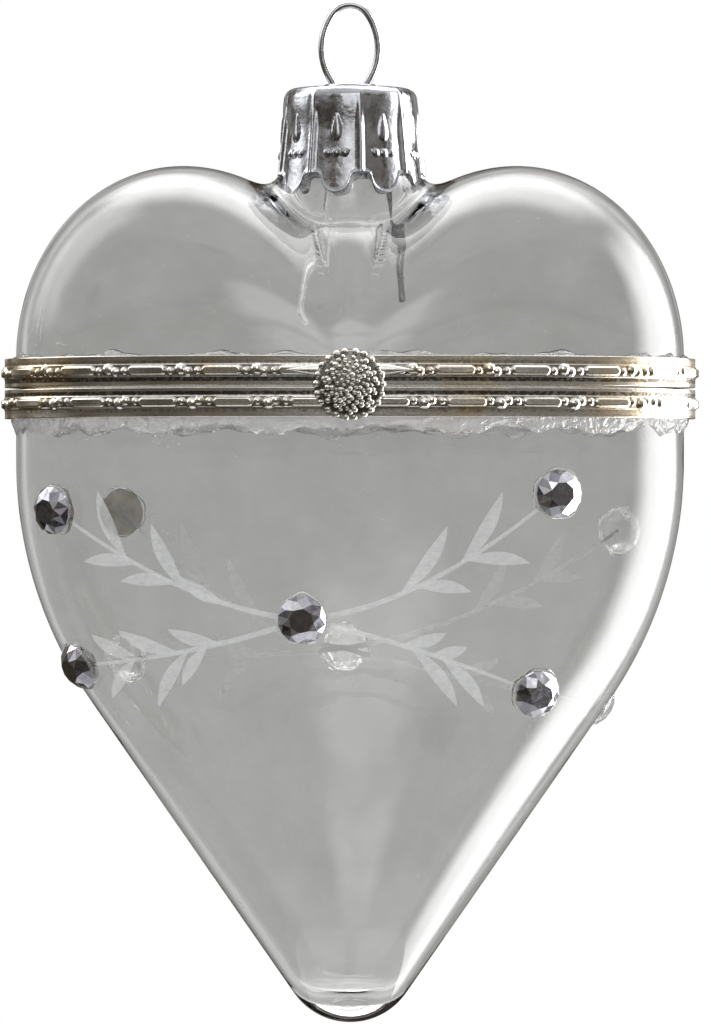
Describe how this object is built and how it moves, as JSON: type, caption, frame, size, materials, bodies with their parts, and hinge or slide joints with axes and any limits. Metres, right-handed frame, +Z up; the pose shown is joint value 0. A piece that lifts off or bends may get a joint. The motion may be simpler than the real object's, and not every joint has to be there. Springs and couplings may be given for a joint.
{
  "type": "heart-shaped trinket box ornament",
  "caption": "Hanging heart of clear glass that opens at the waist on a rear hinge, with embossed bands, a beaded clasp, an ornament cap with a wire ring, and rhinestones.",
  "frame": {"origin": "the point inside the top of the wire ring where a hook bears", "axes": "+Z up, +X across the heart to the right seen from the front, front with the clasp towards -Y, hinge towards +Y"},
  "size_m": [0.0768, 0.0437, 0.1123],
  "materials": {
    "clear_glass": "clear blown glass, fire polished",
    "bezel_nickel": "nickel plated, lightly tarnished in the hollows",
    "clasp_silver": "granulated, silver plated",
    "cap_silver": "bright silver foil-thin sheet",
    "wire_steel": "drawn wire",
    "pin_steel": "drawn wire",
    "rhinestone": "faceted, foil backed",
    "clear_cement": "set clear glue"
  },
  "bodies": {
    "base": {"base_glass": "clear_glass", "base_bezel": "bezel_nickel", "base_cement": "clear_cement", "hinge_base_knuckles": "bezel_nickel", "hinge_pin": "pin_steel", "clasp_catch": "clasp_silver", "front_stone_1": "rhinestone", "front_stone_2": "rhinestone", "front_stone_3": "rhinestone", "front_stone_4": "rhinestone", "front_stone_5": "rhinestone", "back_stone_1": "rhinestone", "back_stone_2": "rhinestone", "back_stone_3": "rhinestone", "back_stone_4": "rhinestone", "back_stone_5": "rhinestone", "front_stone_1_glue": "clear_cement", "front_stone_2_glue": "clear_cement", "front_stone_3_glue": "clear_cement", "front_stone_4_glue": "clear_cement", "front_stone_5_glue": "clear_cement", "back_stone_1_glue": "clear_cement", "back_stone_2_glue": "clear_cement", "back_stone_3_glue": "clear_cement", "back_stone_4_glue": "clear_cement", "back_stone_5_glue": "clear_cement"},
    "lid": {"lid_glass": "clear_glass", "lid_bezel": "bezel_nickel", "lid_cement": "clear_cement", "hinge_lid_knuckles": "bezel_nickel", "clasp_plate": "bezel_nickel", "clasp_button": "clasp_silver"},
    "cap": {"ornament_cap": "cap_silver"},
    "hanger": {"hanger_wire": "wire_steel"}
  },
  "joints": [
    {"name": "lid_hinge", "type": "hinge", "parent": "base", "child": "lid", "pos_m": [0, 0.0209, -0.0419], "axis": [-1, 0, 0], "range_deg": [0, 100]},
    {"name": "cap_lift", "type": "slide", "parent": "lid", "child": "cap", "axis": [0, 0, 1], "range_m": [0, 0.028]},
    {"name": "ring_swing", "type": "hinge", "parent": "cap", "child": "hanger", "pos_m": [0, 0, -0.00852], "axis": [1, 0, 0], "range_deg": [-12, 12]}
  ]
}
